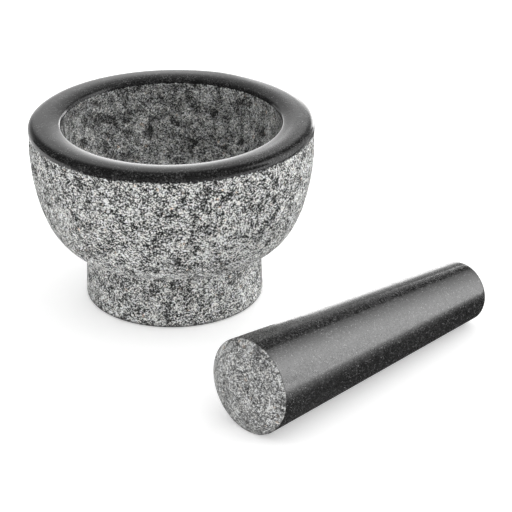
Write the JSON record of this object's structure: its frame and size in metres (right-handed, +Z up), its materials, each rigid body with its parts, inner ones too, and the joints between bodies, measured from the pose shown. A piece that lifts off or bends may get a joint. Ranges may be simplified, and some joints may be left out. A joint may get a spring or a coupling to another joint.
{
  "type": "mortar and pestle",
  "caption": "Granite mortar with a rough belly, polished flat rim and round foot, and a loose tapered pestle with a domed grinding end lying beside it.",
  "frame": {"origin": "centre of the flat underside of the mortar's foot, on the surface that both pieces stand on", "axes": "+Z up along the mortar's turning axis; -Y towards the side that the pestle lies on; +X to the right seen from there"},
  "size_m": [0.2243, 0.2271, 0.0933],
  "materials": {
    "rough_granite": "bush-hammered belly and foot, honed bowl, polished rim",
    "polished_granite": "polished shaft, matte ground head"
  },
  "bodies": {
    "mortar": {"mortar": "rough_granite"},
    "pestle": {"pestle": "polished_granite"}
  },
  "joints": [
    {"name": "pestle_lift", "type": "slide", "parent": "mortar", "child": "pestle", "axis": [0, 0, 1], "range_m": [0, 0.12]}
  ]
}
